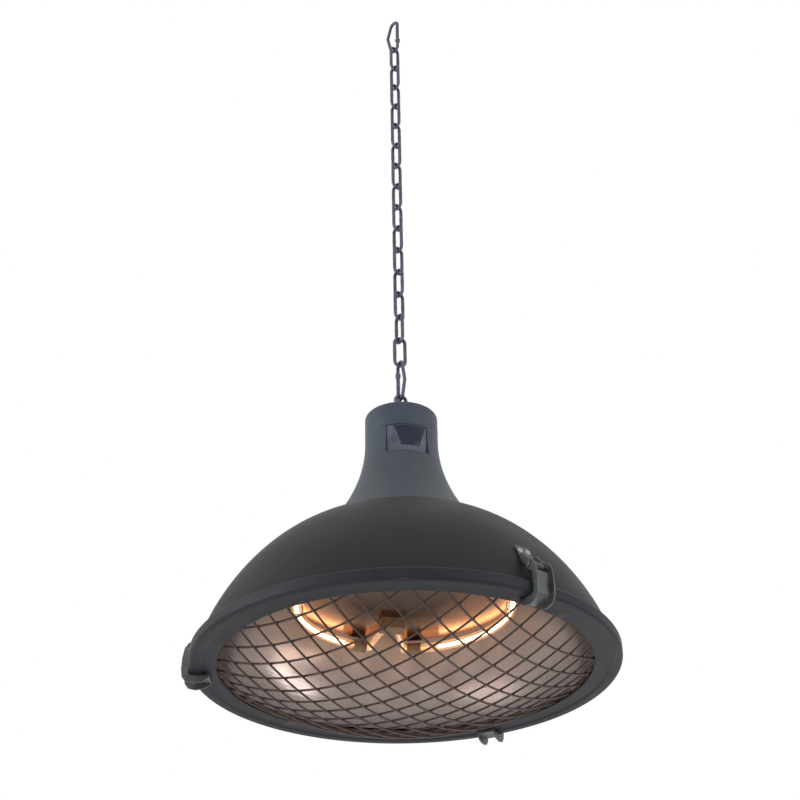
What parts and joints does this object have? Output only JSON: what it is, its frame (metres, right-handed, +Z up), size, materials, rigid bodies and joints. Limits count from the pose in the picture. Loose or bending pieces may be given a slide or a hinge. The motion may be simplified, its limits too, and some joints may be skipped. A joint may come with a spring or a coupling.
{
  "type": "heat lamp fixture",
  "caption": "Hanging ring-lamp heater with a domed shade, flared neck, square-mesh wire guard and rim clips, on a link chain between two snap hooks.",
  "frame": {"origin": "inner top of the upper snap hook, the point where the fixture hangs from its ceiling hook", "axes": "+Z up along the chain; the shade and its guard hang below at negative Z; -Y is the side the signal window faces"},
  "size_m": [0.4424, 0.434, 0.943],
  "materials": {
    "hook_zinc": "dull zinc plating",
    "bright_steel": "plain zinc-plated steel",
    "neck_paint": "satin grey powder coat",
    "shade_paint": "charcoal satin powder coat",
    "bezel_paint": "dark blue-grey satin powder coat",
    "window_smoke": "dark smoked gloss",
    "board_green": "solder mask",
    "nylon_black": "moulded nylon",
    "mirror_aluminium": "polished",
    "ceramic": "unglazed white ceramic",
    "lead_sleeve": "woven glass sleeving",
    "quartz": "clear quartz tube",
    "glowing_coil": "glowing white-orange when lit",
    "gasket_black": "silicone rubber",
    "guard_brown": "dark brown heat-darkened coating",
    "clip_zinc": "greenish grey plating"
  },
  "bodies": {
    "top_hook": {"top_carabiner": "hook_zinc", "top_carabiner_pin": "bright_steel"},
    "top_gate": {"top_carabiner_gate": "hook_zinc"},
    "link_01": {"chain_link_01": "hook_zinc"},
    "link_02": {"chain_link_02": "hook_zinc"},
    "link_03": {"chain_link_03": "hook_zinc"},
    "link_04": {"chain_link_04": "hook_zinc"},
    "link_05": {"chain_link_05": "hook_zinc"},
    "link_06": {"chain_link_06": "hook_zinc"},
    "link_07": {"chain_link_07": "hook_zinc"},
    "link_08": {"chain_link_08": "hook_zinc"},
    "link_09": {"chain_link_09": "hook_zinc"},
    "link_10": {"chain_link_10": "hook_zinc"},
    "link_11": {"chain_link_11": "hook_zinc"},
    "link_12": {"chain_link_12": "hook_zinc"},
    "link_13": {"chain_link_13": "hook_zinc"},
    "link_14": {"chain_link_14": "hook_zinc"},
    "link_15": {"chain_link_15": "hook_zinc"},
    "bottom_hook": {"bottom_carabiner": "hook_zinc", "bottom_carabiner_pin": "bright_steel"},
    "bottom_gate": {"bottom_carabiner_gate": "hook_zinc"},
    "heater": {"eye_bolt": "bright_steel", "eye_washers": "bright_steel", "eye_nut": "bright_steel", "neck_cap": "neck_paint", "control_band": "neck_paint", "window_frame": "bezel_paint", "window_lens": "window_smoke", "receiver_board": "board_green", "neck_sleeve": "bright_steel", "flared_neck": "neck_paint", "tie_rods": "bright_steel", "neck_bulkhead": "bright_steel", "power_board": "board_green", "terminal_block": "ceramic", "gland_body": "nylon_black", "gland_nut": "nylon_black", "dome_shell": "shade_paint", "heat_shield": "mirror_aluminium", "reflector_standoffs": "bright_steel", "thermal_cutout": "ceramic", "lead_wires": "lead_sleeve", "reflector": "mirror_aluminium", "lamp_holder": "ceramic", "lamp_tube": "quartz", "lamp_filament": "glowing_coil", "lamp_end_sleeves": "ceramic", "lamp_supports": "bright_steel", "rim_gasket": "gasket_black", "bezel_ring": "bezel_paint", "guard_hoop": "guard_brown", "guard_wires_a": "guard_brown", "guard_wires_b": "guard_brown", "clip_brackets": "clip_zinc", "clip_rivets": "bright_steel", "clip_pins": "bright_steel", "clip_springs": "bright_steel"},
    "clip_1": {"clip_lever_1": "clip_zinc"},
    "clip_2": {"clip_lever_2": "clip_zinc"},
    "clip_3": {"clip_lever_3": "clip_zinc"}
  },
  "joints": [
    {"name": "top_gate_hinge", "type": "hinge", "parent": "top_hook", "child": "top_gate", "pos_m": [0.00424, -0.00424, -0.0333], "axis": [-0.7071, -0.7071, 0], "range_deg": [0, 24], "stiffness_Nm_per_rad": 0.02, "springref_deg": -28.65},
    {"name": "link_01_swing", "type": "hinge", "parent": "top_hook", "child": "link_01", "pos_m": [0, 0, -0.0465], "axis": [0.7071, -0.7071, 0], "range_deg": [-70, 70]},
    {"name": "link_02_swing", "type": "hinge", "parent": "link_01", "child": "link_02", "pos_m": [0, 0, -0.0785], "axis": [0.7071, 0.7071, 0], "range_deg": [-70, 70]},
    {"name": "link_03_swing", "type": "hinge", "parent": "link_02", "child": "link_03", "pos_m": [0, 0, -0.1105], "axis": [-0.7071, 0.7071, 0], "range_deg": [-70, 70]},
    {"name": "link_04_swing", "type": "hinge", "parent": "link_03", "child": "link_04", "pos_m": [0, 0, -0.1425], "axis": [-0.7071, -0.7071, 0], "range_deg": [-70, 70]},
    {"name": "link_05_swing", "type": "hinge", "parent": "link_04", "child": "link_05", "pos_m": [0, 0, -0.1745], "axis": [0.7071, -0.7071, 0], "range_deg": [-70, 70]},
    {"name": "link_06_swing", "type": "hinge", "parent": "link_05", "child": "link_06", "pos_m": [0, 0, -0.2065], "axis": [0.7071, 0.7071, 0], "range_deg": [-70, 70]},
    {"name": "link_07_swing", "type": "hinge", "parent": "link_06", "child": "link_07", "pos_m": [0, 0, -0.2385], "axis": [-0.7071, 0.7071, 0], "range_deg": [-70, 70]},
    {"name": "link_08_swing", "type": "hinge", "parent": "link_07", "child": "link_08", "pos_m": [0, 0, -0.2705], "axis": [-0.7071, -0.7071, 0], "range_deg": [-70, 70]},
    {"name": "link_09_swing", "type": "hinge", "parent": "link_08", "child": "link_09", "pos_m": [0, 0, -0.3025], "axis": [0.7071, -0.7071, 0], "range_deg": [-70, 70]},
    {"name": "link_10_swing", "type": "hinge", "parent": "link_09", "child": "link_10", "pos_m": [0, 0, -0.3345], "axis": [0.7071, 0.7071, 0], "range_deg": [-70, 70]},
    {"name": "link_11_swing", "type": "hinge", "parent": "link_10", "child": "link_11", "pos_m": [0, 0, -0.3665], "axis": [-0.7071, 0.7071, 0], "range_deg": [-70, 70]},
    {"name": "link_12_swing", "type": "hinge", "parent": "link_11", "child": "link_12", "pos_m": [0, 0, -0.3985], "axis": [-0.7071, -0.7071, 0], "range_deg": [-70, 70]},
    {"name": "link_13_swing", "type": "hinge", "parent": "link_12", "child": "link_13", "pos_m": [0, 0, -0.4305], "axis": [0.7071, -0.7071, 0], "range_deg": [-70, 70]},
    {"name": "link_14_swing", "type": "hinge", "parent": "link_13", "child": "link_14", "pos_m": [0, 0, -0.4625], "axis": [0.7071, 0.7071, 0], "range_deg": [-70, 70]},
    {"name": "link_15_swing", "type": "hinge", "parent": "link_14", "child": "link_15", "pos_m": [0, 0, -0.4945], "axis": [-0.5736, 0.8192, 0], "range_deg": [-70, 70]},
    {"name": "bottom_hook_swing", "type": "hinge", "parent": "link_15", "child": "bottom_hook", "pos_m": [0, 0, -0.5265], "axis": [-0.9659, -0.2588, 0], "range_deg": [-70, 70]},
    {"name": "bottom_gate_hinge", "type": "hinge", "parent": "bottom_hook", "child": "bottom_gate", "pos_m": [-0.00254, 0.00544, -0.5355], "axis": [-0.9063, -0.4226, 0], "range_deg": [0, 24], "stiffness_Nm_per_rad": 0.02, "springref_deg": -28.65},
    {"name": "heater_swing", "type": "hinge", "parent": "bottom_hook", "child": "heater", "pos_m": [0, 0, -0.5708], "axis": [0.4226, -0.9063, 0], "range_deg": [-70, 70]},
    {"name": "clip_1_hinge", "type": "hinge", "parent": "heater", "child": "clip_1", "pos_m": [0.12275, -0.1753, -0.861], "axis": [-0.8192, -0.5736, 0], "range_deg": [0, 80], "stiffness_Nm_per_rad": 0.05, "springref_deg": -28.65},
    {"name": "clip_2_hinge", "type": "hinge", "parent": "heater", "child": "clip_2", "pos_m": [0.09381, 0.19234, -0.861], "axis": [0.8988, -0.4384, 0], "range_deg": [0, 80], "stiffness_Nm_per_rad": 0.05, "springref_deg": -28.65},
    {"name": "clip_3_hinge", "type": "hinge", "parent": "heater", "child": "clip_3", "pos_m": [-0.21387, 0.00747, -0.861], "axis": [0.0349, 0.9994, 0], "range_deg": [0, 80], "stiffness_Nm_per_rad": 0.05, "springref_deg": -28.65}
  ]
}
